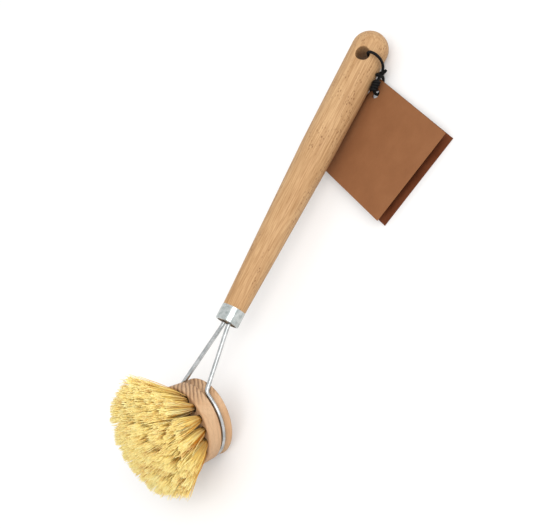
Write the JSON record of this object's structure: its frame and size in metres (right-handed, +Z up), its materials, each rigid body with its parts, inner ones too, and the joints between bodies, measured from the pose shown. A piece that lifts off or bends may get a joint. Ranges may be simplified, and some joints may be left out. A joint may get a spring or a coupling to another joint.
{
  "type": "dish brush",
  "caption": "Beech dish brush with a round replaceable plant-fibre head sprung in a wire loop, a zinc ferrule, and a bare card tag on black elastic cord.",
  "frame": {"origin": "on the table under the middle of the part, without its cord", "axes": "+X along the lying brush from the rounded tip to the bristle head, +Z up from the table, +Y to the side the tag lies on"},
  "size_m": [0.2619, 0.1031, 0.0603],
  "materials": {
    "beech_handle": "turned and sanded beech, unvarnished",
    "beech_head": "turned beech with end grain showing at two sides",
    "zinc_ferrule": "drawn sheet, zinc plated, bright",
    "zinc_wire": "drawn spring wire, zinc plated, bright",
    "plant_fibre": "stiff straw-yellow plant fibre, cut ends",
    "steel_anchor": "flat cut wire, hidden",
    "kraft_card": "uncoated brown kraft card, bare",
    "black_elastic": "braided black elastic cord"
  },
  "bodies": {
    "brush": {"handle": "beech_handle", "ferrule": "zinc_ferrule", "wire_loop": "zinc_wire", "tag_cord": "black_elastic", "cord_hitch": "black_elastic", "cord_knot": "black_elastic"},
    "head": {"head_block": "beech_head", "tuft_anchors": "steel_anchor", "tuft_00": "plant_fibre", "tuft_01": "plant_fibre", "tuft_02": "plant_fibre", "tuft_03": "plant_fibre", "tuft_04": "plant_fibre", "tuft_05": "plant_fibre", "tuft_06": "plant_fibre", "tuft_07": "plant_fibre", "tuft_08": "plant_fibre", "tuft_09": "plant_fibre", "tuft_10": "plant_fibre", "tuft_11": "plant_fibre", "tuft_12": "plant_fibre", "tuft_13": "plant_fibre", "tuft_14": "plant_fibre", "tuft_15": "plant_fibre", "tuft_16": "plant_fibre", "tuft_17": "plant_fibre", "tuft_18": "plant_fibre", "tuft_19": "plant_fibre", "tuft_20": "plant_fibre", "tuft_21": "plant_fibre", "tuft_22": "plant_fibre", "tuft_23": "plant_fibre", "tuft_24": "plant_fibre", "tuft_25": "plant_fibre", "tuft_26": "plant_fibre", "tuft_27": "plant_fibre", "tuft_28": "plant_fibre", "tuft_29": "plant_fibre", "tuft_30": "plant_fibre", "tuft_31": "plant_fibre", "tuft_32": "plant_fibre", "tuft_33": "plant_fibre", "tuft_34": "plant_fibre", "tuft_35": "plant_fibre", "tuft_36": "plant_fibre"},
    "tag": {"tag_back": "kraft_card"},
    "tag_leaf": {"tag_front": "kraft_card"}
  },
  "joints": [
    {"name": "head_turn", "type": "hinge", "parent": "brush", "child": "head", "pos_m": [0.08624, -0.01743, 0.01636], "axis": [0.6387, 0, 0.7695], "continuous": true},
    {"name": "tag_swing", "type": "hinge", "parent": "brush", "child": "tag", "pos_m": [-0.10069, -0.00779, 0.00195], "axis": [0, 0, 1], "range_deg": [-10, 10]},
    {"name": "tag_fold", "type": "hinge", "parent": "tag", "child": "tag_leaf", "pos_m": [-0.08509, -0.01934, 0.00245], "axis": [0.9336, -0.3584, 0], "range_deg": [-4, 6], "stiffness_Nm_per_rad": 0.006}
  ]
}
